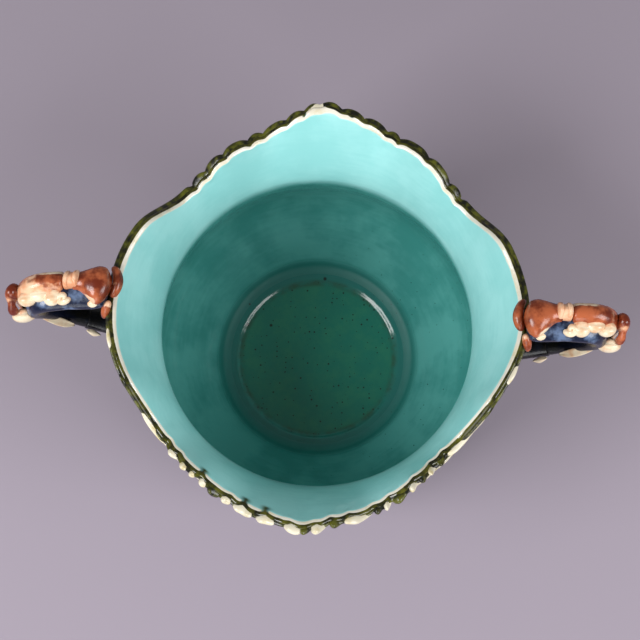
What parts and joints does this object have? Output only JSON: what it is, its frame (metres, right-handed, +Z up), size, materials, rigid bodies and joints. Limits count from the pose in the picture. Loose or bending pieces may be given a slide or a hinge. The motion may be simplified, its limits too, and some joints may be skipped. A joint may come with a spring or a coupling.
{
  "type": "cachepot",
  "caption": "Footed earthenware cachepot with a bulging bowl, flared four-lobed scalloped collar, moulded rim and a scrolled rocaille loop handle on each side.",
  "frame": {"origin": "centre of the foot ring's underside, on the surface the pot stands on", "axes": "+Z up, +X through the right handle, -Y towards the front"},
  "size_m": [0.328, 0.2334, 0.1788],
  "materials": {
    "turquoise_glaze": "glossy turquoise glaze, dark olive outside",
    "olive_glaze": "glossy mottled dark olive glaze",
    "cream_glaze": "glossy cream glaze with olive in the hollows",
    "rust_glaze": "glossy mottled rust-brown glaze",
    "peach_glaze": "glossy peach and cream glaze",
    "navy_glaze": "glossy navy glaze breaking to cream"
  },
  "bodies": {
    "root": {"bowl": "turquoise_glaze", "foot_ring": "olive_glaze", "collar": "turquoise_glaze", "rim_band": "olive_glaze", "rim_roll": "cream_glaze", "front_scrolls": "cream_glaze", "back_scrolls": "cream_glaze", "right_upper_scroll": "rust_glaze", "right_clasp": "peach_glaze", "right_outer_scroll": "rust_glaze", "right_root_scroll": "navy_glaze", "right_rim_curl": "rust_glaze", "right_tip_curl": "rust_glaze", "right_lower_leaf": "cream_glaze", "right_front_leaves": "cream_glaze", "right_back_leaves": "cream_glaze", "left_upper_scroll": "rust_glaze", "left_clasp": "peach_glaze", "left_outer_scroll": "rust_glaze", "left_root_scroll": "navy_glaze", "left_rim_curl": "rust_glaze", "left_tip_curl": "rust_glaze", "left_lower_leaf": "cream_glaze", "left_front_leaves": "cream_glaze", "left_back_leaves": "cream_glaze"}
  },
  "joints": []
}
